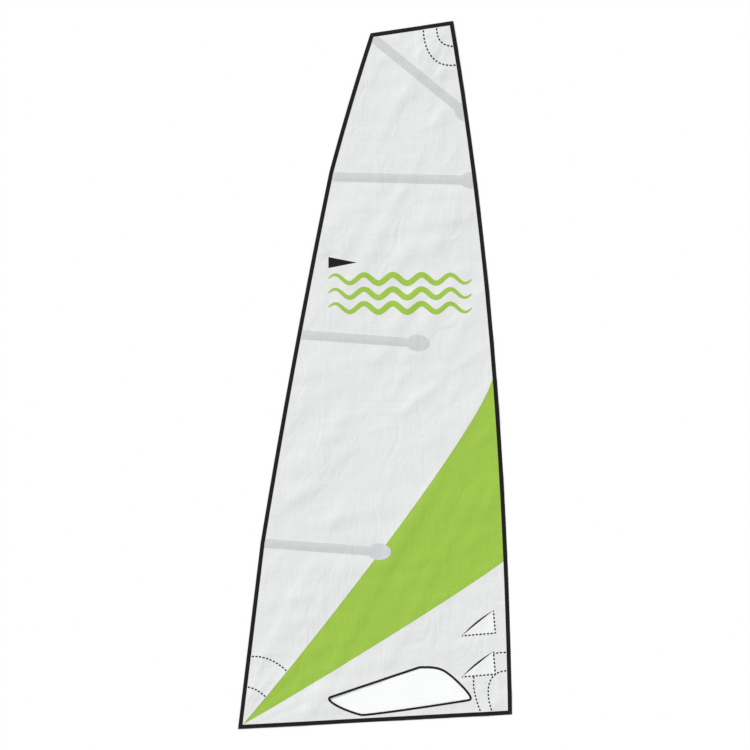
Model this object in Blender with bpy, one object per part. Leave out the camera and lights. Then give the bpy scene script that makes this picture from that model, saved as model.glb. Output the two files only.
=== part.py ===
"""A dinghy mainsail, open and flat, lying face up on a surface.

Metres, +Z up, +X towards the luff, +Y towards the head. The origin is under the middle of the sail's box.
Three cloth panels and a clear window lie side by side on one level. Folded tapes bind the four edges.
Batten pockets, corner patches, two small pockets and an emblem are sewn or stuck on the face, in layers.
"""

import math

import bmesh
import bpy
from mathutils import Vector

CLOTH = 0.001  # thickness of every layer
GAP = 0.0003  # clearance between neighbouring layers and edges
STEP = CLOTH + GAP
PANEL_LEVEL, FACE_LEVEL, SECOND_LEVEL, THIRD_LEVEL = (STEP * n for n in (1, 2, 3, 4))

# Finished corners, at the outside of the edge tapes
PEAK = Vector((-0.038, 2.848))
HEAD = Vector((0.651, 2.950))
TACK = Vector((1.142, -2.828))
CLEW = Vector((-1.142, -2.950))
LEECH_BEND_2 = Vector((-0.381, 1.692))  # the leech turns slightly at the second and fourth battens
LEECH_BEND_4 = Vector((-0.954, -1.400))
LUFF_HANDLES = ((1.106, -0.880), (0.974, 1.084))  # the luff bows out, fullest a little above its middle
LEECH_ROUND_TOP = 0.008
LEECH_ROUND_MIDDLE = 0.016
TAPE_WIDTH = 0.034
PANEL_INSET = CLOTH + GAP  # the panels reach into the fold of the tapes
FIELD_INSET = TAPE_WIDTH + GAP  # what is sewn on the face stops short of the tapes

# Seams of the green panel, each from the clew to the luff: start, two handles, end
UPPER_SEAM = ((-1.096, -2.908), (-0.507, -2.215), (0.849, -0.487), (0.980, -0.033))
LOWER_SEAM = ((-1.096, -2.908), (-0.571, -2.615), (0.727, -1.811), (1.069, -1.554))

WINDOW_TAPE_WIDTH = 0.018
WINDOW_TAPE_LAP = 0.002  # how far the tape reaches in over the clear part

POCKET_WIDTH = 0.075
END_PATCH = (0.100, 0.069)  # half length and half width of the oval at a batten pocket's end
BATTEN_POCKETS = (  # leech end of the centre line, centre of the oval
    ((-0.008, 2.802), (0.746, 2.188)),
    ((-0.350, 1.653), (0.804, 1.623)),
    ((-0.617, 0.337), (0.353, 0.267)),
    ((-0.921, -1.401), (0.033, -1.471)),
)

PATCH_HEM = 0.008  # a patch's edge stands this far outside its row of stitches
PATCH_OVERRUN = 0.06
# Rows of stitches round the corner patches, outer then inner: start, two handles, end
HEAD_CURVES = (
    ((0.403, 2.885), (0.401, 2.765), (0.450, 2.547), (0.680, 2.583)),
    ((0.513, 2.898), (0.516, 2.856), (0.510, 2.741), (0.655, 2.737)),
)
CLEW_CURVES = (
    ((-0.722, -2.482), (-0.793, -2.403), (-0.908, -2.333), (-1.035, -2.346)),
    ((-0.900, -2.694), (-0.967, -2.622), (-1.020, -2.606), (-1.065, -2.598)),
)
TACK_CURVES = (
    ((1.103, -2.312), (0.882, -2.299), (0.732, -2.448), (0.879, -2.804)),
    ((1.105, -2.463), (0.894, -2.470), (0.936, -2.700), (0.973, -2.798)),
)

SMALL_POCKET = ((0.725, -2.173), (1.003, -2.150), (0.986, -1.962))  # its mouth joins the last to the first
SMALL_POCKET_DROP = 0.3425  # the lower pocket is the same shape, this much nearer the foot
MOUTH_BOW = 0.016

WAVE_SPAN = (-0.392, 0.809)
WAVE_HEIGHTS = (0.800, 0.680, 0.560)
WAVE_SWING, WAVE_WIDTH, WAVE_COUNT = 0.035, 0.050, 5
PENNANT = ((-0.388, 0.891), (-0.153, 0.937), (-0.388, 0.983))

BEYOND = 0.5  # how far a cutting shape reaches past the sail
TALL = 0.05  # height of a cutting shape above and below the cloth

CLOTH_GREY = (230, 231, 231)
GREEN = (159, 197, 77)
BLACK = (39, 37, 37)
POCKET_GREY = (208, 209, 211)
WHITE = (242, 243, 243)
CLEAR = (250, 250, 250)


def material(name, colour, roughness=0.65):
    """A Principled material from an 8-bit screen colour."""
    made = bpy.data.materials.new(name)
    made.use_nodes = True
    shader = made.node_tree.nodes["Principled BSDF"]
    linear = [((c / 255 + 0.055) / 1.055) ** 2.4 for c in colour]
    shader.inputs["Base Color"].default_value = (*linear, 1)
    shader.inputs["Roughness"].default_value = roughness
    shader.inputs["Metallic"].default_value = 0
    return made


def left_of(direction):
    return Vector((-direction.y, direction.x)).normalized()


def arc(start, end, bow, steps):
    """Points from start up to but not including end, bowing out to the right of the way from start to end."""
    chord = end - start
    radius = (chord.length_squared / 4 + bow**2) / (2 * bow)
    centre = (start + end) / 2 + left_of(chord) * (radius - bow)
    half = math.asin(chord.length / 2 / radius)
    first = math.atan2(start.y - centre.y, start.x - centre.x)
    turns = (first + 2 * half * n / steps for n in range(steps))
    return [centre + radius * Vector((math.cos(a), math.sin(a))) for a in turns]


def bezier(corners, steps):
    """Points along a cubic curve given as start, two handles and end, up to but not including its end."""
    a, b, c, d = map(Vector, corners)
    shares = (n / steps for n in range(steps))
    return [(1 - t) ** 3 * a + 3 * (1 - t) ** 2 * t * b + 3 * (1 - t) * t**2 * c + t**3 * d for t in shares]


def unit_circle(steps):
    turns = (2 * math.pi * n / steps for n in range(steps))
    return [Vector((math.cos(a), math.sin(a))) for a in turns]


def moved_in(outline, distance):
    """A counter-clockwise outline with every side moved inwards, or outwards by a negative distance."""
    moved = []
    for n, point in enumerate(outline):
        before = left_of(point - outline[n - 1])
        after = left_of(outline[(n + 1) % len(outline)] - point)
        moved.append(point + (before + after) * distance / (1 + before.dot(after)))
    return moved


def add_object(name, mesh_builder, colour):
    mesh = bpy.data.meshes.new(name)
    mesh_builder.normal_update()
    mesh_builder.to_mesh(mesh)
    mesh_builder.free()
    made = bpy.data.objects.new(name, mesh)
    bpy.context.scene.collection.objects.link(made)
    if colour:
        mesh.materials.append(material(name, colour))
    return made


def plate(name, outline, level, colour, thickness=CLOTH):
    """A flat layer: a counter-clockwise outline filled at height level and raised by thickness."""
    build = bmesh.new()
    face = build.faces.new([build.verts.new((p.x, p.y, level)) for p in outline])
    raised = bmesh.ops.extrude_face_region(build, geom=[face])
    tops = [v for v in raised["geom"] if isinstance(v, bmesh.types.BMVert)]
    bmesh.ops.translate(build, verts=tops, vec=(0, 0, thickness))
    bmesh.ops.recalc_face_normals(build, faces=build.faces)
    return add_object(name, build, colour)


def ring(name, inner, outer, level, colour):
    """A flat band between two outlines that have the same number of points."""
    build = bmesh.new()
    rows = [
        [build.verts.new((p.x, p.y, z)) for p in outline]
        for outline, z in (
            (inner, level),
            (outer, level),
            (outer, level + CLOTH),
            (inner, level + CLOTH),
        )
    ]
    count = len(inner)
    for row, following in zip(rows, rows[1:] + rows[:1]):
        for n in range(count):
            m = (n + 1) % count
            build.faces.new((row[n], row[m], following[m], following[n]))
    bmesh.ops.recalc_face_normals(build, faces=build.faces)
    return add_object(name, build, colour)


def cutter(name, outline):
    """A tall upright shape that other pieces are cut with, never built itself."""
    made = plate(name, outline, -TALL, None, 2 * TALL)
    made.hide_render = True
    made.display_type = "WIRE"
    return made


def cut(piece, shape, operation="INTERSECT"):
    modifier = piece.modifiers.new(operation.title(), "BOOLEAN")
    modifier.operation = operation
    modifier.solver = "EXACT"
    modifier.object = shape
    return piece


def sail_edges():
    """The finished outline as four runs of points, counter-clockwise, each without its last corner."""
    leech = arc(PEAK, LEECH_BEND_2, LEECH_ROUND_TOP, 8)
    leech += arc(LEECH_BEND_2, LEECH_BEND_4, LEECH_ROUND_MIDDLE, 14)
    return {
        "foot": [CLEW],
        "luff": bezier((TACK, *LUFF_HANDLES, HEAD), 28),
        "head": [HEAD],
        "leech": leech + [LEECH_BEND_4],
    }


def make_tapes(edges):
    """A tape folded over each edge, one flange under the cloth and one on it, mitred at the corners."""
    outline = [point for run in edges.values() for point in run]
    section = (  # distance in from the edge, height, going round the folded tape
        (0, 0),
        (TAPE_WIDTH, 0),
        (TAPE_WIDTH, CLOTH),
        (CLOTH, CLOTH),
        (CLOTH, FACE_LEVEL),
        (TAPE_WIDTH, FACE_LEVEL),
        (TAPE_WIDTH, FACE_LEVEL + CLOTH),
        (0, FACE_LEVEL + CLOTH),
    )
    lines = [moved_in(outline, distance) for distance, _ in section]
    first = 0
    for name, run in edges.items():
        places = [(first + n) % len(outline) for n in range(len(run) + 1)]
        first += len(run)
        build = bmesh.new()
        rows = []
        for line, (_, height) in zip(lines, section):
            points = [line[n].copy() for n in places]
            points[0] += (line[places[1]] - line[places[0]]).normalized() * GAP
            points[-1] += (line[places[-2]] - line[places[-1]]).normalized() * GAP
            rows.append([build.verts.new((p.x, p.y, height)) for p in points])
        for row, following in zip(rows, rows[1:] + rows[:1]):
            for n in range(len(places) - 1):
                build.faces.new((row[n], row[n + 1], following[n + 1], following[n]))
        build.faces.new([row[0] for row in rows])
        build.faces.new([row[-1] for row in rows])
        bmesh.ops.recalc_face_normals(build, faces=build.faces)
        add_object(f"tape_{name}", build, BLACK)


def seam_line(seam, shift, steps=20):
    """A seam's points moved to its left by shift, with a start and an end beyond the sail."""
    points = bezier(seam, steps) + [Vector(seam[-1])]
    before_clew = CLEW + (CLEW - points[0]).normalized() * BEYOND
    past_luff = points[-1] + (points[-1] - points[-2]).normalized() * BEYOND
    line = [before_clew, *points, past_luff]
    shifted = []
    for n, point in enumerate(line):
        before = left_of(point - line[max(n - 1, 0)]) if n else left_of(line[1] - point)
        after = left_of(line[n + 1] - point) if n + 1 < len(line) else before
        shifted.append(point + (before + after) * shift / (1 + before.dot(after)))
    return shifted


def above(line):
    """The region to the left of a seam line, towards the head."""
    top = HEAD.y + BEYOND
    return [*line, Vector((line[-1].x + BEYOND, top)), Vector((CLEW.x - 2 * BEYOND, top))]


def below(line):
    """The region to the right of a seam line, towards the tack."""
    low = CLEW.y - 2 * BEYOND
    return [Vector((line[0].x, low)), Vector((line[-1].x + BEYOND, low)), *reversed(line)]


def window_outline():
    """The clear part of the window: a bowed foot, a tight tip at each end and a round shoulder on top."""
    foot_left, foot_right = (-0.0723, -2.8237), (0.7465, -2.7077)
    right_tip, crest = (0.7780, -2.6658), (0.5815, -2.4766)
    shoulder, bend = (0.4300, -2.4408), (0.3880, -2.4408)
    slope_top, slope_foot = (0.3581, -2.4462), (-0.3617, -2.6868)
    left_turn, left_foot = (-0.3509, -2.7249), (-0.1324, -2.8201)
    outline = bezier((foot_left, (0.1157, -2.8048), (0.4549, -2.7526), foot_right), 12)
    outline += bezier((foot_right, (0.7991, -2.6996), (0.7972, -2.6986), right_tip), 12)
    outline += bezier((right_tip, (0.7564, -2.6294), (0.6593, -2.5268), crest), 12)
    outline += bezier((crest, (0.5400, -2.4498), (0.4850, -2.4408), shoulder), 10)
    outline += [Vector(shoulder)]
    outline += bezier((bend, (0.3780, -2.4408), (0.3690, -2.4426), slope_top), 5)
    outline += [Vector(slope_top)]
    outline += bezier((slope_foot, (-0.3741, -2.6910), (-0.3898, -2.6955), left_turn), 14)
    outline += bezier((left_turn, (-0.2960, -2.7664), (-0.1813, -2.8086), left_foot), 10)
    outline += bezier((left_foot, (-0.1249, -2.8218), (-0.1187, -2.8284), foot_left), 8)
    return outline


def make_panels(edges):
    """The grey upper and lower panels, the green panel between them, and the window in the lower one."""
    outline = moved_in([point for run in edges.values() for point in run], PANEL_INSET)
    half = GAP / 2
    upper = plate("panel_upper", outline, PANEL_LEVEL, CLOTH_GREY)
    cut(upper, cutter("region_upper", above(seam_line(UPPER_SEAM, half))))
    green = plate("panel_green", outline, PANEL_LEVEL, GREEN)
    cut(green, cutter("region_green_top", below(seam_line(UPPER_SEAM, -half))))
    cut(green, cutter("region_green_foot", above(seam_line(LOWER_SEAM, half))))
    lower = plate("panel_lower", outline, PANEL_LEVEL, CLOTH_GREY)
    cut(lower, cutter("region_lower", below(seam_line(LOWER_SEAM, -half))))

    pane = window_outline()
    seam = WINDOW_TAPE_WIDTH / 2 - WINDOW_TAPE_LAP
    cut(lower, cutter("window_opening", moved_in(pane, -seam - half)), "DIFFERENCE")
    plate("window_film", moved_in(pane, -seam + half), PANEL_LEVEL, CLEAR)
    inner, outer = (moved_in(pane, d) for d in (WINDOW_TAPE_LAP, WINDOW_TAPE_LAP - WINDOW_TAPE_WIDTH))
    ring("window_tape", inner, outer, FACE_LEVEL, BLACK)


def make_batten_pockets(field):
    """A pocket strip from the leech for each batten, with an oval patch over its inner end."""
    for number, (leech_end, centre) in enumerate(BATTEN_POCKETS, 1):
        start, end = Vector(leech_end), Vector(centre)
        along = (end - start).normalized()
        side = left_of(along) * POCKET_WIDTH / 2
        start -= along * POCKET_WIDTH
        strip = [start - side, end - side, end + side, start + side]
        cut(plate(f"batten_pocket_{number}", strip, FACE_LEVEL, POCKET_GREY), field)
        length, width = END_PATCH
        oval = [end + along * p.x * length + left_of(along) * p.y * width for p in unit_circle(64)]
        cut(plate(f"batten_end_{number}", oval, SECOND_LEVEL, POCKET_GREY), field)


def patch_outline(curve, corner):
    """A patch's outline round a corner of the sail, which runs on past the sail's edges at both its ends."""
    points = bezier(curve, 20) + [Vector(curve[-1])]
    before = points[0] + (points[0] - points[1]).normalized() * PATCH_OVERRUN
    after = points[-1] + (points[-1] - points[-2]).normalized() * PATCH_OVERRUN
    beyond = corner * (1 + BEYOND)
    return moved_in([before, *points, after, beyond], -PATCH_HEM)


def make_corner_patches(field):
    """Two patches on each of the head, clew and tack. Those on the clew stop at the green panel."""
    over_green = cutter("region_clew", above(seam_line(UPPER_SEAM, GAP)))
    corners = (("head", HEAD, HEAD_CURVES), ("clew", CLEW, CLEW_CURVES), ("tack", TACK, TACK_CURVES))
    for name, corner, curves in corners:
        for size, level, curve in zip(("outer", "inner"), (FACE_LEVEL, SECOND_LEVEL), curves):
            patch = cut(plate(f"patch_{name}_{size}", patch_outline(curve, corner), level, CLOTH_GREY), field)
            if name == "clew":
                cut(patch, over_green)


def make_small_pockets():
    """Two triangular pockets near the luff. The lower one lies over the tack patches."""
    corner, right, top = map(Vector, SMALL_POCKET)
    outline = [corner, right, *arc(top, corner, MOUTH_BOW, 12)]
    drop = Vector((0, -SMALL_POCKET_DROP))
    plate("small_pocket_upper", outline, FACE_LEVEL, WHITE)
    plate("small_pocket_lower", [p + drop for p in outline], THIRD_LEVEL, WHITE)


def wave_ribbon(height, steps=120):
    """A ribbon that swings up and down along its length and narrows to a tip at each end."""
    start, end = WAVE_SPAN
    lower, upper = [], []
    for n in range(1, steps):
        share = n / steps
        turn = 2 * math.pi * WAVE_COUNT * share
        slope = WAVE_SWING * math.cos(turn) * 2 * math.pi * WAVE_COUNT / (end - start)
        middle = Vector((start + (end - start) * share, height + WAVE_SWING * math.sin(turn)))
        half = WAVE_WIDTH / 2 * math.sin(math.pi * share) ** 0.4
        across = left_of(Vector((1, slope))) * half
        lower.append(middle - across)
        upper.append(middle + across)
    return [Vector((start, height)), *lower, Vector((end, height)), *reversed(upper)]


def make_emblem():
    for number, height in enumerate(WAVE_HEIGHTS, 1):
        plate(f"wave_{number}", wave_ribbon(height), FACE_LEVEL, GREEN)
    plate("pennant", [Vector(p) for p in PENNANT], FACE_LEVEL, BLACK)


def main():
    for old in list(bpy.data.objects):
        bpy.data.objects.remove(old, do_unlink=True)
    edges = sail_edges()
    outline = [point for run in edges.values() for point in run]
    field = cutter("field", moved_in(outline, FIELD_INSET))
    make_tapes(edges)
    make_panels(edges)
    make_batten_pockets(field)
    make_corner_patches(field)
    make_small_pockets()
    make_emblem()


main()
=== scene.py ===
"""An open dinghy mainsail lying face up on a pale floor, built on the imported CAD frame.

Each CAD node gives the outline of one piece of cloth. All pieces lie on one shared relief, the ripples
and creases of the whole sail, in the order in which a sailmaker lays them. Metres, +Z up.
"""

import math

import bpy
import numpy as np
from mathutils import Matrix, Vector, geometry


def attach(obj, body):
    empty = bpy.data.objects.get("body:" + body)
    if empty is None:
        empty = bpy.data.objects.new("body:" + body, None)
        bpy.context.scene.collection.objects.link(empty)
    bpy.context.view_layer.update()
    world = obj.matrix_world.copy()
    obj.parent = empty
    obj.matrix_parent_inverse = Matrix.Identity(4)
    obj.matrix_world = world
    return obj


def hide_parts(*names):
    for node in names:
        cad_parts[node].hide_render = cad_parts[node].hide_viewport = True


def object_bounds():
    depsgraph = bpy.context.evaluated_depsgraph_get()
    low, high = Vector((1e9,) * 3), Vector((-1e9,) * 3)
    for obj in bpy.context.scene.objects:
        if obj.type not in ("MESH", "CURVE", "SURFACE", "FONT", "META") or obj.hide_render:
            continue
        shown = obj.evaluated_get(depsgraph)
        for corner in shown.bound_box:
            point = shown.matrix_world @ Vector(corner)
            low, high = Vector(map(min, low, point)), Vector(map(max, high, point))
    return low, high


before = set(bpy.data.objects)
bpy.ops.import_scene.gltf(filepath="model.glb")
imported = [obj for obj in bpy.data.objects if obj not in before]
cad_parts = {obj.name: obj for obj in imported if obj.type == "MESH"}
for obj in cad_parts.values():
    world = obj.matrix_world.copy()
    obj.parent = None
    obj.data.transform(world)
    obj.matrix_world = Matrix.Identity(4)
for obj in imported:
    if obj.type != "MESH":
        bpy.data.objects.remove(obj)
cad_low, cad_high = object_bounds()

# Heights above the relief, for layers pressed together by their stitching
UNDER = 0.0013  # the panels' underside, above the lower flange of the edge tapes
PANEL = 0.0007
FACE_THICK = 0.0008
SETTLE = 0.0002  # clearance between a layer and what it lies on
PLY = FACE_THICK + SETTLE + 0.0001  # how much higher a layer lies where it passes over another
PLY_STEP = 0.012  # how wide the ramp is on to another layer
PANEL_TOP = UNDER + PANEL
TAPE_WIDTH = 0.034
TAPE_THICK = 0.0008
FOLDED = 0.0030  # thickness of an edge tape with the cloth inside its fold
FILM = 0.0004
STICKER = 0.0003
# thickness of the black sheet of painted shade inside a small pocket's mouth
PAINTED_SHADE = 0.0004

# The height of a piece's underside above the relief, and its thickness
IN_PANEL = (UNDER, PANEL)
IN_WINDOW = (UNDER, FILM)
SEWN_ON = (PANEL_TOP + SETTLE, FACE_THICK)
STUCK_ON = (PANEL_TOP + SETTLE, STICKER)
# the black sheet of painted shade inside a small pocket's mouth
PAINTED_SHADE_ON = (PANEL_TOP + SETTLE, PAINTED_SHADE)

CORNER_COSINE = 0.85  # an outline's turn is a corner where its cosine is less than this
PANEL_SPACING = 0.014
DETAIL_SPACING = 0.009
FINE_SPACING = 0.006
STATION = 0.013  # step along an edge tape

RELIEF_STEP = 0.01
RELIEF_PAD = 64  # grid steps beyond each edge, so that a blur doesn't wrap round
MAX_RELIEF = 0.0095
RIPPLES = (  # seed, width, length and direction in degrees of the ripples, and their height
    (11, 0.17, 0.17, 0, 0.0016),
    (23, 0.040, 0.42, 62, 0.0015),
    (37, 0.036, 0.30, 8, 0.0011),
)
CREASES = (51, 0.10, 0.50, 35, 0.0034)  # the same, for the soft creases
FANS = (  # edge at whose first corner the wrinkles start, reach, how many in a full turn, height, seed
    ("foot", 0.95, 30, 0.0019, 3),
    ("luff", 0.80, 26, 0.0017, 5),
    ("head", 0.70, 24, 0.0016, 7),
    ("leech", 0.50, 20, 0.0010, 9),
)
FAN_CORE = 0.10  # the wrinkles die out this close to their corner
PUCKERS = (  # edge, axis that it mostly follows, height, pitch, seed
    ("luff", 1, 0.0013, 0.105, 61),
    ("leech", 1, 0.0008, 0.130, 67),
    ("foot", 0, 0.0010, 0.120, 71),
)
PUCKER_REACH = 0.11
FIRST_BLUR, LAST_BLUR = 0.011, 0.008
FLOOR_SHARE = 0.25  # share of the sail that settles flat on the floor
FLOOR_SOFTNESS = 0.0012
CALM_REACH = 0.05  # how far round a stiff piece the relief is calmed
STRIP_CALM, POCKET_CALM = 0.55, 0.6
EDGE_CALM, EDGE_REACH = 0.45, 0.16

BATTEN_CROWN = 0.0016
CROWN_WIDTH = 0.85  # share of a strip's width that is crowned
CROWN_RISE, CROWN_FALL = 0.06, 0.12  # along the strip, from its leech end and to its inner end
MOUTH_BOW_SHARE = 0.1  # the cloth of a small pocket's mouth bows this share of the bow of the black sheet of painted shade in its mouth
MOUTH_GAPE = 0.004
MOUTH_REACH = 0.055  # how far from its mouth a small pocket stands open
MOUTH_SEWN = 0.03  # how close to a sewn side the gape closes
MOUTH_TUCK = 0.012  # how far the black sheet of painted shade reaches in under the pocket
PAINTED_SHADE_RAMP = 0.04  # from the mouth to where the cloth lies flat behind the black sheet of painted shade
MITRE_GAP = 0.0006

ZIGZAG_WIDTH = 0.005
ZIGZAG_PITCH = 0.005
THREAD_WIDTH = 0.0008
THREAD_HEIGHT = 0.0004
ROW_INSET = 0.006  # from a sewn edge to the middle of its row
WINDOW_ROW_INSET = 0.007
PATCH_HEM = 0.008
TACK_LENGTH, TACK_WIDTH, TACK_PITCH = 0.0185, 0.013, 0.031
TACK_STROKE = 0.0018  # pitch of the dense zigzag in a bar tack
TACK_THREAD = 0.0014
CLOTH_EDGE = 0.0008  # a bar's strokes stay at a pocket's height to this far outside its edge

FLOOR_HALF = 300.0  # far enough for the floor to fill every view

TAPES = ("foot", "luff", "head", "leech")
BATTENS = range(1, 5)
WAVES = range(1, 4)
COLOURS = {  # 8-bit screen colours
    "cloth": (230, 231, 231),
    "green": (159, 197, 77),
    "black": (39, 37, 37),
    "pocket": (208, 209, 211),
    "white": (242, 243, 243),
}


# ---------------------------------------------------------------- camera, light and floor


def make_camera():
    """Looks straight down on the middle of the sail. The picture is 6.25 m across."""
    span, lens, sensor = 6.25, 85.0, 36.0
    camera = bpy.data.objects.new("camera", bpy.data.cameras.new("camera"))
    camera.data.lens = lens
    camera.data.sensor_width = sensor
    camera.data.clip_end = 100
    camera.location = (0, 0, span * lens / sensor)
    bpy.context.scene.collection.objects.link(camera)
    bpy.context.scene.camera = camera


def make_light():
    """A broad sun from the upper left and an even white sky."""
    world = bpy.data.worlds.new("studio")
    world.use_nodes = True
    world.node_tree.nodes["Background"].inputs["Color"].default_value = (1, 1, 1, 1)
    world.node_tree.nodes["Background"].inputs["Strength"].default_value = 0.46
    bpy.context.scene.world = world
    key = bpy.data.objects.new("key", bpy.data.lights.new("key", "SUN"))
    key.data.energy = 2.95
    key.data.angle = math.radians(14)
    key.rotation_euler = (math.radians(-38), math.radians(-42), 0)
    bpy.context.scene.collection.objects.link(key)
    bpy.context.scene.view_settings.view_transform = "Standard"


def make_floor():
    mesh = bpy.data.meshes.new("floor")
    corners = [(x * FLOOR_HALF, y * FLOOR_HALF, 0) for x, y in ((-1, -1), (1, -1), (1, 1), (-1, 1))]
    mesh.from_pydata(corners, [], [(0, 1, 2, 3)])
    floor = bpy.data.objects.new("floor", mesh)
    bpy.context.scene.collection.objects.link(floor)
    material = bpy.data.materials.new("floor")
    material.use_nodes = True
    shader = material.node_tree.nodes["Principled BSDF"]
    shader.inputs["Base Color"].default_value = (0.99, 0.99, 0.99, 1)
    shader.inputs["Roughness"].default_value = 1.0
    shader.inputs["Specular IOR Level"].default_value = 0.0
    mesh.materials.append(material)


# ---------------------------------------------------------------- outlines of the CAD pieces


def outlines(node):
    """The loops round a flat CAD node's top face: anticlockwise outside, then clockwise round its holes."""
    if node in outlines.known:
        return outlines.known[node]
    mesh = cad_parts[node].data
    top = max(v.co.z for v in mesh.vertices)
    names, places, count = {}, [], {}
    for polygon in mesh.polygons:
        corners = [mesh.vertices[v].co for v in polygon.vertices]
        if polygon.normal.z < 0.9 or min(c.z for c in corners) < top - 1e-4:
            continue
        ids = []
        for corner in corners:
            key = (round(corner.x, 5), round(corner.y, 5))
            if key not in names:
                names[key] = len(places)
                places.append(key)
            ids.append(names[key])
        for a, b in zip(ids, ids[1:] + ids[:1]):
            count[(a, b)] = count.get((a, b), 0) + 1
    following = {a: b for a, b in count if (b, a) not in count}
    loops = []
    while following:
        here = next(iter(following))
        loop = []
        while here in following:
            loop.append(places[here])
            here = following.pop(here)
        loops.append(np.array(loop))
    outlines.known[node] = sorted(loops, key=lambda points: -abs(area_of(points)))
    return outlines.known[node]


outlines.known = {}


def area_of(points):
    x, y = points[:, 0], points[:, 1]
    return 0.5 * float(np.sum(x * np.roll(y, -1) - y * np.roll(x, -1)))


def flat_area(loops):
    return sum(area_of(loop) for loop in loops)


def open_loop(loop):
    """A closed loop as an open line that ends where it starts."""
    return np.concatenate([loop, loop[:1]])


def flat_size(points):
    """Width and length of the smallest rectangle that holds these points."""
    best = None
    for angle in np.radians(np.arange(0, 90, 0.25)):
        turn = np.array([[math.cos(angle), -math.sin(angle)], [math.sin(angle), math.cos(angle)]])
        size = sorted(np.ptp(points @ turn, axis=0))
        if best is None or size[0] * size[1] < best[0] * best[1]:
            best = size
    return float(best[0]), float(best[1])


def lengths_of(line):
    return np.linalg.norm(np.diff(line, axis=0), axis=1)


def length_of(line):
    return float(lengths_of(line).sum())


def band_size(loops):
    """Width and length of the closed band between an outer and an inner loop, as if laid out straight."""
    outer, inner = (length_of(open_loop(loop)) for loop in loops)
    width = 0.5 * (outer - inner) / math.pi
    return width, flat_area(loops) / width


def left_of(along):
    return np.stack([-along[:, 1], along[:, 0]], axis=1)


def sides_of(loop):
    """The sides of a closed loop, each an open run of points from one sharp corner to the next."""
    before = loop - np.roll(loop, 1, axis=0)
    after = np.roll(loop, -1, axis=0) - loop
    cosine = np.sum(before * after, axis=1) / np.linalg.norm(before, axis=1) / np.linalg.norm(after, axis=1)
    turns = np.flatnonzero(cosine < CORNER_COSINE)
    sides = []
    for start, end in zip(turns, np.roll(turns, -1)):
        count = (end - start) % len(loop)
        sides.append(loop[(start + np.arange(count + 1)) % len(loop)])
    return sides


def longest_side(loop):
    return max(sides_of(loop), key=length_of)


def two_longest_sides(loop):
    return sorted(sides_of(loop), key=length_of, reverse=True)[:2]


def split_at_curve(loop):
    """A loop's curved side, which has the most points, and the other sides in order after it."""
    sides = sides_of(loop)
    first = max(range(len(sides)), key=lambda n: len(sides[n]))
    return sides[first], sides[first + 1 :] + sides[:first]


def spaced(loop, spacing):
    """Points round a closed loop at about this spacing, which keep every corner."""
    made = []
    for a, b in zip(loop, np.roll(loop, -1, axis=0)):
        steps = max(1, round(float(np.linalg.norm(b - a)) / spacing))
        made += [a + (b - a) * n / steps for n in range(steps)]
    return np.array(made)


def evenly(line, count):
    """Points at count equal steps along an open line, and the direction of the line at each."""
    run = np.concatenate([[0], np.cumsum(lengths_of(line))])
    at = np.linspace(0, run[-1], count + 1)
    made = np.stack([np.interp(at, run, line[:, k]) for k in (0, 1)], axis=1)
    along = np.gradient(made, axis=0)
    return made, along / np.linalg.norm(along, axis=1, keepdims=True)


def moved_in(loop, distance):
    """A closed anticlockwise loop with every side moved inwards."""
    before = loop - np.roll(loop, 1, axis=0)
    after = np.roll(loop, -1, axis=0) - loop
    sides = [left_of(d / np.linalg.norm(d, axis=1, keepdims=True)) for d in (before, after)]
    share = 1 + np.sum(sides[0] * sides[1], axis=1, keepdims=True)
    least = 0.35  # keeps the mitre at a very sharp corner short
    return loop + (sides[0] + sides[1]) * distance / np.maximum(share, least)


def shifted(line, distance):
    """An open line moved to its left."""
    along = np.gradient(line, axis=0)
    return line + left_of(along / np.linalg.norm(along, axis=1, keepdims=True)) * distance


def inside(points, loops):
    """True for each point that lies within the loops, holes left out."""
    result = np.zeros(len(points), bool)
    x, y = points[:, 0], points[:, 1]
    for loop in loops:
        for (ax, ay), (bx, by) in zip(loop, np.roll(loop, -1, axis=0)):
            if ay == by:
                continue
            crosses = (ay > y) != (by > y)
            result ^= crosses & (x < ax + (y - ay) * (bx - ax) / (by - ay))
    return result


def distance_to(points, line, closed=True):
    """Each point's distance to a line."""
    ends = np.roll(line, -1, axis=0) if closed else line[1:]
    starts = line if closed else line[:-1]
    nearest = np.full(len(points), np.inf)
    for a, b in zip(starts, ends):
        way = b - a
        share = np.clip((points - a) @ way / max(way @ way, 1e-12), 0, 1)
        nearest = np.minimum(nearest, np.linalg.norm(points - a - share[:, None] * way, axis=1))
    return nearest


def smooth(share):
    share = np.clip(share, 0, 1)
    return share * share * (3 - 2 * share)


def over(points, node):
    """1 on a CAD piece, falling to 0 a step outside its edge."""
    loops = outlines(node)
    away = np.min([distance_to(points, loop) for loop in loops], axis=0)
    return smooth(1 - np.where(inside(points, loops), 0.0, away) / PLY_STEP)


def sail_runs():
    """The outer line of each edge tape, anticlockwise round the sail, joined at the sail's corners."""
    runs = {edge: longest_side(outlines(f"tape_{edge}")[0]).copy() for edge in TAPES}
    for edge, following in zip(TAPES, TAPES[1:] + TAPES[:1]):
        corner = (runs[edge][-1] + runs[following][0]) / 2
        runs[edge][-1] = corner
        runs[following][0] = corner
    return runs


def edge_lines(runs, distance):
    """The outer lines of the edge tapes moved into the sail, so that they still meet at its corners."""
    moved = moved_in(np.concatenate([runs[edge][:-1] for edge in TAPES]), distance)
    lines, first = {}, 0
    for edge in TAPES:
        lines[edge] = moved[(first + np.arange(len(runs[edge]))) % len(moved)]
        first += len(runs[edge]) - 1
    return lines


# ---------------------------------------------------------------- the relief that all the cloth lies on


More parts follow.
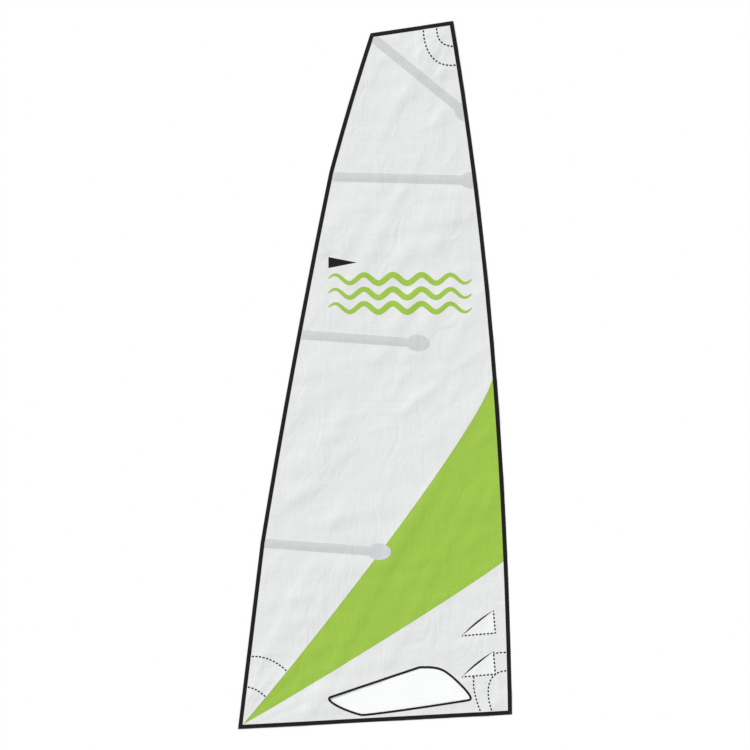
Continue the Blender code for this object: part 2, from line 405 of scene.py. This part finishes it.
class Relief:
    """Heights on a square grid over the sail's box, read between the grid's points."""

    def __init__(self):
        margin = 0.06
        self.low = np.array(cad_low[:2]) - margin
        high = np.array(cad_high[:2]) + margin
        self.counts = np.ceil((high - self.low) / RELIEF_STEP).astype(int) + 1
        self.x, self.y = np.meshgrid(
            self.low[0] + RELIEF_STEP * np.arange(self.counts[0]),
            self.low[1] + RELIEF_STEP * np.arange(self.counts[1]),
            indexing="ij",
        )
        self.heights = np.zeros(self.x.shape)

    def filtered(self, field, across, along, angle=0.0):
        """A field blurred by across and along, whose long direction is turned by angle."""
        fx, fy = np.meshgrid(*[np.fft.fftfreq(n, RELIEF_STEP) for n in field.shape], indexing="ij")
        on = fx * math.cos(angle) + fy * math.sin(angle)
        off = fy * math.cos(angle) - fx * math.sin(angle)
        keep = np.exp(-2 * math.pi**2 * ((on * along) ** 2 + (off * across) ** 2))
        return np.real(np.fft.ifft2(np.fft.fft2(field) * keep))

    def noise(self, seed, across, along=None, angle=0.0):
        """Smooth noise of unit spread."""
        white = np.random.default_rng(seed).standard_normal(tuple(self.counts + 2 * RELIEF_PAD))
        made = self.unpadded(self.filtered(white, across, along or across, angle))
        return (made - made.mean()) / made.std()

    def blurred(self, field, reach):
        return self.unpadded(self.filtered(np.pad(field, RELIEF_PAD, mode="edge"), reach, reach))

    def unpadded(self, field):
        return field[RELIEF_PAD:-RELIEF_PAD, RELIEF_PAD:-RELIEF_PAD]

    def at(self, points):
        """The relief at each point, linear between the grid's points."""
        place = (np.asarray(points)[:, :2] - self.low) / RELIEF_STEP
        whole = np.clip(place.astype(int), 0, self.counts - 2)
        u, v = (place - whole).T
        i, j = whole.T
        h = self.heights
        near = h[i, j] * (1 - u) + h[i + 1, j] * u
        far = h[i, j + 1] * (1 - u) + h[i + 1, j + 1] * u
        return near * (1 - v) + far * v


def ridge(field, sharp=0.25):
    """Turns smooth noise into soft ridges along its zero lines."""
    return 1 - np.sqrt(field**2 + sharp**2) + sharp


def make_relief():
    relief = Relief()
    x, y = relief.x, relief.y
    flat = np.stack([x.ravel(), y.ravel()], axis=1)

    def away(line, closed=False):
        return distance_to(flat, line, closed).reshape(x.shape)

    runs = sail_runs()
    total = np.zeros(x.shape)
    for seed, across, along, degrees, height in RIPPLES:
        total += relief.noise(seed, across, along, math.radians(degrees)) * height
    seed, across, along, degrees, height = CREASES
    total += ridge(relief.noise(seed, across, along, math.radians(degrees))) * height

    # Wrinkles that fan out from the reinforced corners
    for edge, reach, count, height, seed in FANS:
        dx, dy = x - runs[edge][0][0], y - runs[edge][0][1]
        span = np.hypot(dx, dy)
        fade = np.exp(-((span / reach) ** 2)) * (1 - np.exp(-((span / FAN_CORE) ** 2)))
        wander = relief.noise(seed, 0.12) * 0.5
        total += np.cos(np.arctan2(dy, dx) * count + wander) * fade * height

    # Puckers along the sewn edges
    for edge, axis, height, pitch, seed in PUCKERS:
        wander = relief.noise(seed, 0.20) * 1.4
        strength = 0.65 + 0.35 * relief.noise(seed + 1, 0.22)
        fade = np.exp(-((away(runs[edge]) / PUCKER_REACH) ** 2))
        total += np.cos(2 * math.pi * (x, y)[axis] / pitch + wander) * fade * height * strength

    # The low parts settle on the floor, and the stiff parts lie calmer than the rest
    total = relief.blurred(total, FIRST_BLUR)
    floor = np.quantile(total, FLOOR_SHARE)
    total = np.logaddexp(0, (total - floor) / FLOOR_SOFTNESS) * FLOOR_SOFTNESS
    calm = {f"batten_pocket_{n}": STRIP_CALM for n in BATTENS}
    calm.update({"small_pocket_upper": POCKET_CALM, "small_pocket_lower": POCKET_CALM})
    for node, share in calm.items():
        near = away(outlines(node)[0], True)
        near[inside(flat, outlines(node)).reshape(x.shape)] = 0
        total *= 1 - share * np.exp(-((near / CALM_REACH) ** 2))
    edge = np.min([away(run) for run in runs.values()], axis=0)
    total *= 1 - EDGE_CALM * np.exp(-((edge / EDGE_REACH) ** 2))
    relief.heights = np.minimum(relief.blurred(total, LAST_BLUR), MAX_RELIEF)
    relief.heights -= relief.heights.min()
    return relief


# ---------------------------------------------------------------- materials


def linear(colour, gain=1.0):
    """A screen colour in linear light, made darker by a gain below one."""
    shares = [c / 255 for c in colour]
    return [gain * (((c + 0.055) / 1.055) ** 2.4 if c > 0.04045 else c / 12.92) for c in shares]


class Shade:
    """A Principled material under construction, in the object's own metres."""

    def __init__(self, name, roughness, specular):
        self.material = bpy.data.materials.new(name)
        self.material.use_nodes = True
        self.tree = self.material.node_tree
        self.shader = self.tree.nodes["Principled BSDF"]
        self.shader.inputs["Roughness"].default_value = roughness
        self.shader.inputs["Specular IOR Level"].default_value = specular
        self.place = self.tree.nodes.new("ShaderNodeTexCoord").outputs["Object"]
        self.normal = None

    def node(self, kind, inputs=(), **settings):
        made = self.tree.nodes.new(kind)
        for key, value in settings.items():
            setattr(made, key, value)
        for key, value in dict(inputs).items():
            if isinstance(value, bpy.types.NodeSocket):
                self.tree.links.new(value, made.inputs[key])
            else:
                made.inputs[key].default_value = value
        return made

    def mapped(self, scale=(1, 1, 1), turn=0.0):
        inputs = {"Vector": self.place, "Scale": scale, "Rotation": (0, 0, math.radians(turn))}
        return self.node("ShaderNodeMapping", inputs).outputs["Vector"]

    def noise(self, scale, detail=2.0, stretch=(1, 1, 1), turn=0.0, distortion=0.0):
        vector = self.mapped(stretch, turn)
        inputs = {"Vector": vector, "Scale": scale, "Detail": detail, "Distortion": distortion}
        return self.node("ShaderNodeTexNoise", inputs).outputs["Fac"]

    def creases(self, scale, detail, stretch, turn, distortion):
        """Soft V-shaped creases along the middle level of a noise."""
        value = self.noise(scale, detail, stretch, turn, distortion)
        off = self.math("SUBTRACT", value, 0.5)
        return self.math("SQRT", self.math("MULTIPLY_ADD", off, off, 0.0002))

    def threads(self, period, turn):
        """Parallel threads of this period, running across the turned direction."""
        inputs = {"Vector": self.mapped(turn=turn), "Scale": 2 * math.pi / 20 / period}
        return self.node("ShaderNodeTexWave", inputs, wave_profile="SIN").outputs["Fac"]

    def math(self, operation, a, b=0.0, c=0.0):
        made = self.node("ShaderNodeMath", operation=operation)
        for socket, value in zip(made.inputs, (a, b, c)):
            if isinstance(value, bpy.types.NodeSocket):
                self.tree.links.new(value, socket)
            else:
                socket.default_value = value
        return made.outputs[0]

    def ramped(self, value, low, high):
        """A value from 0..1 brought to low..high."""
        return self.math("MULTIPLY_ADD", value, high - low, low)

    def weave(self, period, turn=0.0):
        """Warp and weft threads that pass over each other."""
        warp, weft = self.threads(period, turn), self.threads(period, turn + 90)
        return self.math("ABSOLUTE", self.math("SUBTRACT", warp, weft))

    def bump(self, height, distance, strength=1.0):
        """Adds a bump on top of those made before."""
        inputs = {"Height": height, "Distance": distance, "Strength": strength}
        if self.normal:
            inputs["Normal"] = self.normal
        self.normal = self.node("ShaderNodeBump", inputs).outputs["Normal"]
        self.tree.links.new(self.normal, self.shader.inputs["Normal"])

    def colour(self, base, factors):
        """The base colour, multiplied by factors near one that vary over the surface."""
        value = factors[0]
        for factor in factors[1:]:
            value = self.math("MULTIPLY", value, factor)
        made = self.node("ShaderNodeVectorMath", operation="SCALE")
        made.inputs[0].default_value = base
        self.tree.links.new(value, made.inputs["Scale"])
        self.tree.links.new(made.outputs[0], self.shader.inputs["Base Color"])

    def roughness(self, value, low, high):
        self.tree.links.new(self.ramped(value, low, high), self.shader.inputs["Roughness"])


def sailcloth(name, colour, weave=0.0009):
    """Woven polyester with a resin finish: fine weave, slubs both ways, and soft creases that cross."""
    shade = Shade(name, 0.55, 0.1)
    cloudy = shade.noise(1.3, 3)
    slubs = shade.noise(90, 2, (0.03, 1, 1), 4)
    picks = shade.noise(110, 2, (1, 0.03, 1), 4)
    worn = shade.noise(9, 4, distortion=0.6)
    cross = shade.weave(weave, 4)
    factors = ((cloudy, 0.025), (slubs, 0.035), (picks, 0.035), (worn, 0.02), (cross, 0.03))
    shade.colour(linear(colour), [shade.ramped(v, 1 - r, 1 + r) for v, r in factors])
    shade.roughness(worn, 0.44, 0.64)
    shade.bump(shade.creases(5, 2, (1, 0.5, 1), 28, 0.9), 0.009)
    shade.bump(shade.creases(15, 2, (1, 0.75, 1), -35, 1.2), 0.0022)
    shade.bump(shade.noise(34, 3, distortion=1.1), 0.0007)
    shade.bump(shade.math("ADD", slubs, picks), 0.0003)
    shade.bump(cross, 0.00014)
    return shade.material


def tape_cloth(name, colour, gain=0.78):
    """Folded black tape: ribbed, with lighter wear in patches."""
    shade = Shade(name, 0.62, 0.06)
    worn = shade.noise(30, 4)
    faded = shade.noise(4)
    factors = ((worn, 0.75, 1.3), (faded, 0.9, 1.1))
    shade.colour(linear(colour, gain), [shade.ramped(*factor) for factor in factors])
    shade.roughness(worn, 0.5, 0.74)
    shade.bump(shade.noise(34, 3), 0.0010, 0.5)
    shade.bump(shade.weave(0.0022, 8), 0.00022, 0.8)
    return shade.material


def insignia(name, colour, gain=1.0):
    """Satin adhesive film, smooth with a faint orange peel."""
    shade = Shade(name, 0.48, 0.14)
    cloudy = shade.noise(7, 2)
    shade.colour(linear(colour, gain), [shade.ramped(cloudy, 0.975, 1.025)])
    shade.roughness(cloudy, 0.42, 0.54)
    shade.bump(shade.noise(30, 3, distortion=1.0), 0.0012, 0.5)
    shade.bump(shade.noise(420, 2), 0.00012, 0.5)
    return shade.material


def thread(name, colour, gain=1.0):
    """Twisted polyester thread."""
    shade = Shade(name, 0.6, 0.08)
    twist = shade.threads(0.0007, 35)
    fuzz = shade.noise(300)
    factors = ((twist, 0.85, 1.1), (fuzz, 0.92, 1.08))
    shade.colour(linear(colour, gain), [shade.ramped(*factor) for factor in factors])
    shade.bump(twist, 0.0001, 0.8)
    return shade.material


def clear_film(name):
    """Clear window film: glossy, a little cloudy, see-through."""
    shade = Shade(name, 0.12, 0.5)
    haze = shade.noise(5, 4, distortion=0.8)
    shade.colour([0.96, 0.98, 0.99], [shade.ramped(haze, 0.97, 1.02)])
    shade.roughness(haze, 0.06, 0.2)
    shade.bump(shade.noise(14, 2, distortion=0.7), 0.0012, 0.5)
    shade.shader.inputs["Alpha"].default_value = 0.1
    return shade.material


MATERIALS = {}


def make_materials():
    MATERIALS.update(
        grey_sailcloth=sailcloth("grey sailcloth", COLOURS["cloth"]),
        green_sailcloth=sailcloth("green sailcloth", COLOURS["green"]),
        pocket_cloth=sailcloth("pocket cloth", COLOURS["pocket"], 0.0014),
        white_cloth=sailcloth("white cloth", COLOURS["white"], 0.0012),
        black_tape=tape_cloth("black tape", COLOURS["black"]),
        window_film=clear_film("window film"),
        green_insignia=insignia("green insignia", COLOURS["green"]),
        black_insignia=insignia("black insignia", COLOURS["black"], 0.6),
        pale_thread=thread("pale thread", COLOURS["cloth"]),
        green_thread=thread("green thread", COLOURS["green"]),
        black_thread=thread("black thread", COLOURS["black"], 0.4),
    )


# ---------------------------------------------------------------- sheets


def add_piece(name, mesh, material, nodes=()):
    """A piece that rides on the sail's one body and stands for the named CAD nodes."""
    mesh.materials.append(MATERIALS[material])
    piece = bpy.data.objects.new(name, mesh)
    bpy.context.scene.collection.objects.link(piece)
    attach(piece, "root")
    if nodes:
        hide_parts(*nodes)
    return piece


def distance_near(row, loop, spacing):
    """The distance of a row of points at one height to the parts of a loop that pass close to it."""
    y = row[0, 1]
    after = np.roll(loop, -1, axis=0)
    starts_low = np.minimum(loop[:, 1], after[:, 1]) < y + spacing
    ends_high = np.maximum(loop[:, 1], after[:, 1]) > y - spacing
    close = starts_low & ends_high
    nearest = np.full(len(row), np.inf)
    for a, b in zip(loop[close], after[close]):
        nearest = np.minimum(nearest, distance_to(row, np.array([a, b]), closed=False))
    return nearest


def points_inside(loops, spacing):
    """Points in staggered rows inside loops, none of them close to an edge."""
    low, high = loops[0].min(axis=0), loops[0].max(axis=0)
    row_step = spacing * math.sqrt(3) / 2
    clear = 0.55 * spacing
    made = []
    for n, y in enumerate(np.arange(low[1] + row_step / 2, high[1], row_step)):
        x = np.arange(low[0] + spacing * (0.25 + 0.5 * (n % 2)), high[0], spacing)
        row = np.stack([x, np.full(len(x), y)], axis=1)
        row = row[inside(row, loops)]
        if len(row):
            near = np.min([distance_near(row, loop, spacing) for loop in loops], axis=0)
            made += list(row[near > clear])
    return made


def sheet_mesh(name, loops, spacing, bottom, top):
    """A thin closed sheet inside loops, its two sides at the heights bottom(points) and top(points)."""
    places, edges = [], []
    for loop in loops:
        line = spaced(loop, spacing)
        first = len(places)
        places += list(line)
        edges += [(first + n, first + (n + 1) % len(line)) for n in range(len(line))]
    places += points_inside(loops, spacing)
    made = geometry.delaunay_2d_cdt([Vector(p) for p in places], edges, [], 0, 1e-7)
    points = np.array([tuple(v) for v in made[0]])
    triangles = np.array(made[2])
    triangles = triangles[inside(points[triangles].mean(axis=1), loops)]
    a, b, c = (points[triangles[:, k]] for k in range(3))
    turned = (b - a)[:, 0] * (c - a)[:, 1] - (b - a)[:, 1] * (c - a)[:, 0] < 0
    triangles[turned] = triangles[turned][:, ::-1]
    used = np.unique(triangles)
    triangles = np.searchsorted(used, triangles)
    points = points[used]
    directed = np.concatenate([triangles[:, [0, 1]], triangles[:, [1, 2]], triangles[:, [2, 0]]])
    count = len(points)
    key = directed[:, 0] * count + directed[:, 1]
    reverse = directed[:, 1] * count + directed[:, 0]
    rim = directed[~np.isin(key, reverse)]
    vertices = np.concatenate([np.column_stack([points, side(points)]) for side in (top, bottom)])
    faces = triangles.tolist() + (triangles[:, ::-1] + count).tolist()
    faces += [(b, a, a + count, b + count) for a, b in rim.tolist()]
    return finished_mesh(name, vertices, faces, sharp_degrees=40)


def finished_mesh(name, vertices, faces, sharp_degrees):
    mesh = bpy.data.meshes.new(name)
    mesh.from_pydata(np.asarray(vertices).tolist(), [], faces)
    mesh.shade_smooth()
    mesh.set_sharp_from_angle(angle=math.radians(sharp_degrees))
    return mesh


class Layer:
    """One flat piece of the sail: its outline and the heights of its two sides."""

    def __init__(self, node, relief, place, over_nodes=(), lift=None, loops=None):
        self.node, self.relief, self.over_nodes, self.lift = node, relief, over_nodes, lift
        self.level, self.thick = place
        self.loops = loops or outlines(node)

    def bottom(self, points):
        height = self.relief.at(points) + self.level
        for node in self.over_nodes:
            height = height + PLY * over(points, node)
        if self.lift is not None:
            height = height + self.lift(points)
        return height

    def top(self, points):
        return self.bottom(points) + self.thick

    def build(self, slot, spacing, rests_on, name=None, flat=None, replaced=True):
        name = name or f"{self.node}_cloth"
        mesh = sheet_mesh(name, self.loops, spacing, self.bottom, self.top)
        piece = add_piece(name, mesh, slot, [self.node] if replaced else [])
        if flat:
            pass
        else:
            size = flat_size(self.loops[0])
            flat_area(self.loops)


def tape_section():
    """The folded tape's outer and inner skin, as distances in from the sail's edge and heights."""
    radius = FOLDED / 2
    hollow = radius - TAPE_THICK
    flange = np.linspace(TAPE_WIDTH, radius, 5)[:-1]
    turns = np.linspace(-math.pi / 2, math.pi / 2, 6)
    skins = []
    for bend, low in ((radius, 0.0), (hollow, TAPE_THICK)):
        under = [(d, low) for d in flange]
        fold = [(radius - bend * math.cos(a), radius + bend * math.sin(a)) for a in turns]
        skins.append(under + fold + [(d, FOLDED - low) for d in flange[::-1]])
    return skins


def build_tapes(relief):
    """A tape folded over each edge of the sail, mitred at the corners."""
    runs = sail_runs()
    outer, inner = tape_section()
    section = outer + inner[::-1]
    moved = [edge_lines(runs, distance) for distance, _ in section]
    for edge in TAPES:
        length = length_of(runs[edge])
        stations = round(length / STATION)
        rows = []
        for (_, height), lines in zip(section, moved):
            line = lines[edge]
            for end, beside in ((0, 1), (-1, -2)):
                back = line[beside] - line[end]
                line[end] += back / np.linalg.norm(back) * (MITRE_GAP / 2)
            points, _ = evenly(line, stations)
            rows.append(np.column_stack([points, relief.at(points) + height]))
        vertices = np.concatenate(rows)
        ring, along = len(section), stations + 1
        faces = []
        for k in range(ring):
            this, other = k * along, (k + 1) % ring * along
            faces += [(this + n, other + n, other + n + 1, this + n + 1) for n in range(stations)]
        for n, flipped in ((0, True), (stations, False)):
            for k in range(len(outer) - 1):
                face = [k, k + 1, ring - 2 - k, ring - 1 - k]
                face = [i * along + n for i in face]
                faces.append(face[::-1] if flipped else face)
        name = f"tape_{edge}_folded"
        mesh = finished_mesh(name, vertices, faces, sharp_degrees=50)
        piece = add_piece(name, mesh, "black_tape", [f"tape_{edge}"])


# ---------------------------------------------------------------- what is sewn on the face


def batten_crown(node):
    """How far a batten pocket's cloth stands proud: most along its middle, nothing at its edges."""
    sides = two_longest_sides(outlines(node)[0])
    start = np.concatenate([sides[0][:1], sides[1][-1:]]).mean(axis=0)
    end = np.concatenate([sides[0][-1:], sides[1][:1]]).mean(axis=0)
    half = np.linalg.norm(sides[0][0] - sides[1][-1]) / 2
    length = np.linalg.norm(end - start)
    along = (end - start) / length

    def lift(points):
        run = (points - start) @ along
        off = (points - start) @ np.array([-along[1], along[0]])
        ends = smooth(run / CROWN_RISE) * smooth((length - run) / CROWN_FALL)
        return BATTEN_CROWN * np.clip(1 - (off / (half * CROWN_WIDTH)) ** 2, 0, 1) * ends

    return lift


def mouth_lift(sides, mouth):
    """How far a small pocket's cloth stands open: most at the middle of its mouth."""
    start, end = mouth[0], mouth[-1]
    way = end - start

    def lift(points):
        share = np.clip((points - start) @ way / (way @ way), 0, 1)
        away = distance_to(points, np.array([start, end]), closed=False)
        sewn = np.min([distance_to(points, side, closed=False) for side in sides], axis=0)
        open_part = np.sin(math.pi * share) ** 1.3 * np.exp(-((away / MOUTH_REACH) ** 2))
        return MOUTH_GAPE * open_part * (1 - np.exp(-((sewn / MOUTH_SEWN) ** 2)))

    return lift


def bowed(mouth, share):
    """The mouth's line with its bow taken down to a share of itself. Below zero it bows the other way."""
    start, way = mouth[0], mouth[-1] - mouth[0]
    straight = start + ((mouth - start) @ way / (way @ way))[:, None] * way
    return straight + (mouth - straight) * share


def build_small_pocket(node, relief, over_nodes, rests_on):
    """A triangular pocket sewn along two sides, open along the third, with a black sheet of painted shade
    inside its mouth for the shadow there.
    """
    mouth, sewn = split_at_curve(outlines(node)[0])
    bow = np.max(distance_to(mouth, np.array([mouth[0], mouth[-1]]), closed=False))
    cloth_loop = np.concatenate([bowed(mouth, MOUTH_BOW_SHARE)[:-1], *[side[:-1] for side in sewn]])
    # A black sheet in the tape's colour laid in the mouth: painted shade for the shadow inside the open mouth
    mouth_painted_shade_loop = np.concatenate([mouth, bowed(mouth, -MOUTH_TUCK / bow)[-2:0:-1]])
    mouth_painted_shade = Layer(node, relief, PAINTED_SHADE_ON, over_nodes, loops=[mouth_painted_shade_loop])
    mouth_painted_shade.build("black_tape", FINE_SPACING, rests_on, f"{node}_facing", replaced=False)
    gape = mouth_lift(sewn, mouth)

    def lift(points):
        # the cloth rises over the black sheet of painted shade near its mouth
        near_mouth = smooth(1 - distance_to(points, mouth, closed=False) / PAINTED_SHADE_RAMP)
        return gape(points) + (PAINTED_SHADE + SETTLE) * near_mouth

    cloth = Layer(node, relief, SEWN_ON, over_nodes, lift, [cloth_loop])
    cloth.build("white_cloth", FINE_SPACING, [*rests_on, f"{node}_facing"])
    return cloth


# ---------------------------------------------------------------- thread


def swung(line, width, pitch):
    """The turning points of a zigzag along an open line."""
    count = max(2, round(length_of(line) / (pitch / 2)))
    middle, along = evenly(line, count)
    swing = np.where(np.arange(count + 1) % 2, 1, -1)[:, None] * width / 2
    return middle + left_of(along) * swing


class Thread:
    """Stitches of one kind of thread, gathered into one mesh."""

    def __init__(self, width=THREAD_WIDTH):
        self.starts, self.ends, self.width = [], [], width

    def add(self, path, height):
        """Straight stitches between the points of a path that lie at height(points)."""
        placed = np.column_stack([path, height(path)])
        self.starts.append(placed[:-1])
        self.ends.append(placed[1:])

    def add_row(self, line, height, hidden=(), within=None):
        """A zigzag along a line, left out where it is under the hidden nodes or off the one it is within."""
        path = swung(line, ZIGZAG_WIDTH, ZIGZAG_PITCH)
        placed = np.column_stack([path, height(path)])
        keep = np.ones(len(path) - 1, bool)
        for node in hidden:
            under = inside(path, outlines(node))
            keep &= ~(under[:-1] | under[1:])
        if within:
            on = inside(path, outlines(within))
            keep &= on[:-1] & on[1:]
        self.starts.append(placed[:-1][keep])
        self.ends.append(placed[1:][keep])

    def add_bar_tacks(self, line, height, hidden=(), at_ends=False):
        """A row of short dense bars at even steps along a line, between its ends or with half a bar at each.

        Each stroke is laid over what it crosses."""
        count = round(length_of(line) / TACK_PITCH)
        fine, along = evenly(line, 2 * count)
        first = 0 if at_ends else 1
        for n in range(first, 2 * count + 1, 2):
            middle, way = fine[n], along[n]
            if any(inside(middle[None], outlines(node))[0] for node in hidden):
                continue
            back = 0 if n == 0 else TACK_LENGTH / 2
            on = 0 if n == 2 * count else TACK_LENGTH / 2
            path = swung(np.array([middle - way * back, middle + way * on]), TACK_WIDTH, TACK_STROKE)
            halved = np.empty((2 * len(path) - 1, 2))
            halved[0::2] = path
            halved[1::2] = (path[1:] + path[:-1]) / 2
            self.add(halved, height)

    def build(self, name, material, slot):
        """Every stitch as a closed ridge with a three-cornered section."""
        starts, ends = np.concatenate(self.starts), np.concatenate(self.ends)
        along = ends - starts
        along /= np.linalg.norm(along, axis=1, keepdims=True)
        side = np.column_stack([-along[:, 1], along[:, 0], np.zeros(len(along))]) * self.width / 2
        up = np.array([0, 0, THREAD_HEIGHT])
        corners = [starts - side, starts + side, starts + up, ends - side, ends + side, ends + up]
        vertices = np.stack(corners, axis=1).reshape(-1, 3)
        faces = []
        for first in range(0, len(vertices), 6):
            a, b, c, d, e, f = range(first, first + 6)
            faces += [(a, c, b), (d, e, f), (a, b, e, d), (b, c, f, e), (c, a, d, f)]
        mesh = finished_mesh(name, vertices, faces, sharp_degrees=30)
        add_piece(name, mesh, material)


def sew(relief, layers):
    """All rows of stitching."""
    panel = Layer("panel_upper", relief, IN_PANEL)
    black, bars, pale, green = Thread(), Thread(TACK_THREAD), Thread(), Thread()

    def on_tape(points):
        return relief.at(points) + FOLDED

    for line in edge_lines(sail_runs(), TAPE_WIDTH - ROW_INSET).values():
        black.add_row(line, on_tape)
    window_row = moved_in(outlines("window_tape")[0], WINDOW_ROW_INSET)
    black.add_row(open_loop(window_row), layers["window_tape"].top)

    face = [node for node in layers if node.startswith(("batten", "patch", "wave"))]
    upper_seam, lower_seam = green_seams()
    for seam, side in ((upper_seam, 1), (lower_seam, -1)):
        pale.add_row(shifted(seam, side * ROW_INSET), panel.top, [*face, "panel_green"])
        green.add_row(shifted(seam, -side * ROW_INSET), panel.top, face, within="panel_green")
    for node, hidden in (("patch_clew_outer", ["patch_clew_inner"]), ("patch_clew_inner", [])):
        pale.add_row(shifted(upper_seam, ROW_INSET), layers[node].top, hidden, within=node)
    for number in BATTENS:
        strip, oval = f"batten_pocket_{number}", f"batten_end_{number}"
        for node, hidden in ((strip, [oval]), (oval, [])):
            pale.add_row(open_loop(moved_in(outlines(node)[0], ROW_INSET)), layers[node].top, hidden)

    for corner in ("head", "clew", "tack"):
        for size in ("outer", "inner"):
            node = f"patch_{corner}_{size}"
            curve, _ = split_at_curve(outlines(node)[0])
            hidden = ["small_pocket_lower"] if corner == "tack" else []
            bars.add_bar_tacks(shifted(curve, PATCH_HEM), layers[node].top, hidden)
    for place in ("upper", "lower"):
        cloth = layers[f"small_pocket_{place}"]
        _, sewn = split_at_curve(outlines(cloth.node)[0])

        def height(points, cloth=cloth):
            on_cloth = inside(points, [moved_in(cloth.loops[0], -CLOTH_EDGE)])
            beside = cloth.relief.at(points) + PANEL_TOP
            for node in cloth.over_nodes:
                beside = beside + PLY * over(points, node)
            return np.where(on_cloth, cloth.top(points), beside)

        for side in sewn:
            bars.add_bar_tacks(side, height, at_ends=True)
    black.build("thread_black", "black_thread", "black_tape")
    bars.build("thread_bar_tacks", "black_thread", "black_tape")
    pale.build("thread_pale", "pale_thread", "grey_sailcloth")
    green.build("thread_green", "green_thread", "green_sailcloth")


def green_seams():
    """The green panel's upper and lower seam, each from the clew to the luff."""
    sides = two_longest_sides(outlines("panel_green")[0])
    seams = [side if side[0][0] < side[-1][0] else side[::-1] for side in sides]
    return sorted(seams, key=lambda seam: -seam[-1][1])


# ---------------------------------------------------------------- the whole sail


def build_sail():
    relief = make_relief()
    make_materials()
    build_tapes(relief)
    layers = {}

    def lay(node, slot, spacing, place, rests_on, over_nodes=(), lift=None, flat=None):
        layers[node] = Layer(node, relief, place, over_nodes, lift)
        layers[node].build(slot, spacing, rests_on, flat=flat)

    upper_tapes = [f"tape_{edge}_folded" for edge in ("luff", "head", "leech")]
    lay("panel_upper", "grey_sailcloth", PANEL_SPACING, IN_PANEL, upper_tapes)
    lay("panel_green", "green_sailcloth", PANEL_SPACING, IN_PANEL, ["tape_luff_folded"])
    lay("panel_lower", "grey_sailcloth", PANEL_SPACING, IN_PANEL, ["tape_foot_folded", "tape_luff_folded"])

    lay("window_film", "window_film", DETAIL_SPACING, IN_WINDOW, ["panel_lower_cloth"])
    around = ["panel_lower_cloth", "window_film_cloth"]
    lay("window_tape", "black_tape", FINE_SPACING, SEWN_ON, around, flat=band_size(outlines("window_tape")))

    for number in BATTENS:
        strip, oval = f"batten_pocket_{number}", f"batten_end_{number}"
        crown = batten_crown(strip)
        cloths = ["panel_upper_cloth"] + (["panel_green_cloth"] if number == 4 else [])
        lay(strip, "pocket_cloth", DETAIL_SPACING, SEWN_ON, cloths, lift=crown)
        below = [f"{strip}_cloth", *cloths]
        lay(oval, "pocket_cloth", FINE_SPACING, SEWN_ON, below, [strip], crown)

    for corner, panel in (("head", "panel_upper"), ("clew", "panel_upper"), ("tack", "panel_lower")):
        outer, inner = f"patch_{corner}_outer", f"patch_{corner}_inner"
        lay(outer, "grey_sailcloth", DETAIL_SPACING, SEWN_ON, [f"{panel}_cloth"])
        lay(inner, "grey_sailcloth", DETAIL_SPACING, SEWN_ON, [f"{outer}_cloth"], [outer])

    tack = ["patch_tack_outer", "patch_tack_inner"]
    tack_cloths = [f"{node}_cloth" for node in tack]
    for node, over_nodes, rests_on in (
        ("small_pocket_upper", [], ["panel_lower_cloth"]),
        ("small_pocket_lower", tack, tack_cloths),
    ):
        layers[node] = build_small_pocket(node, relief, over_nodes, rests_on)

    for number in WAVES:
        lay(f"wave_{number}", "green_insignia", DETAIL_SPACING, STUCK_ON, ["panel_upper_cloth"])
    lay("pennant", "black_insignia", DETAIL_SPACING, STUCK_ON, ["panel_upper_cloth"])
    sew(relief, layers)


make_camera()
make_light()
make_floor()
build_sail()
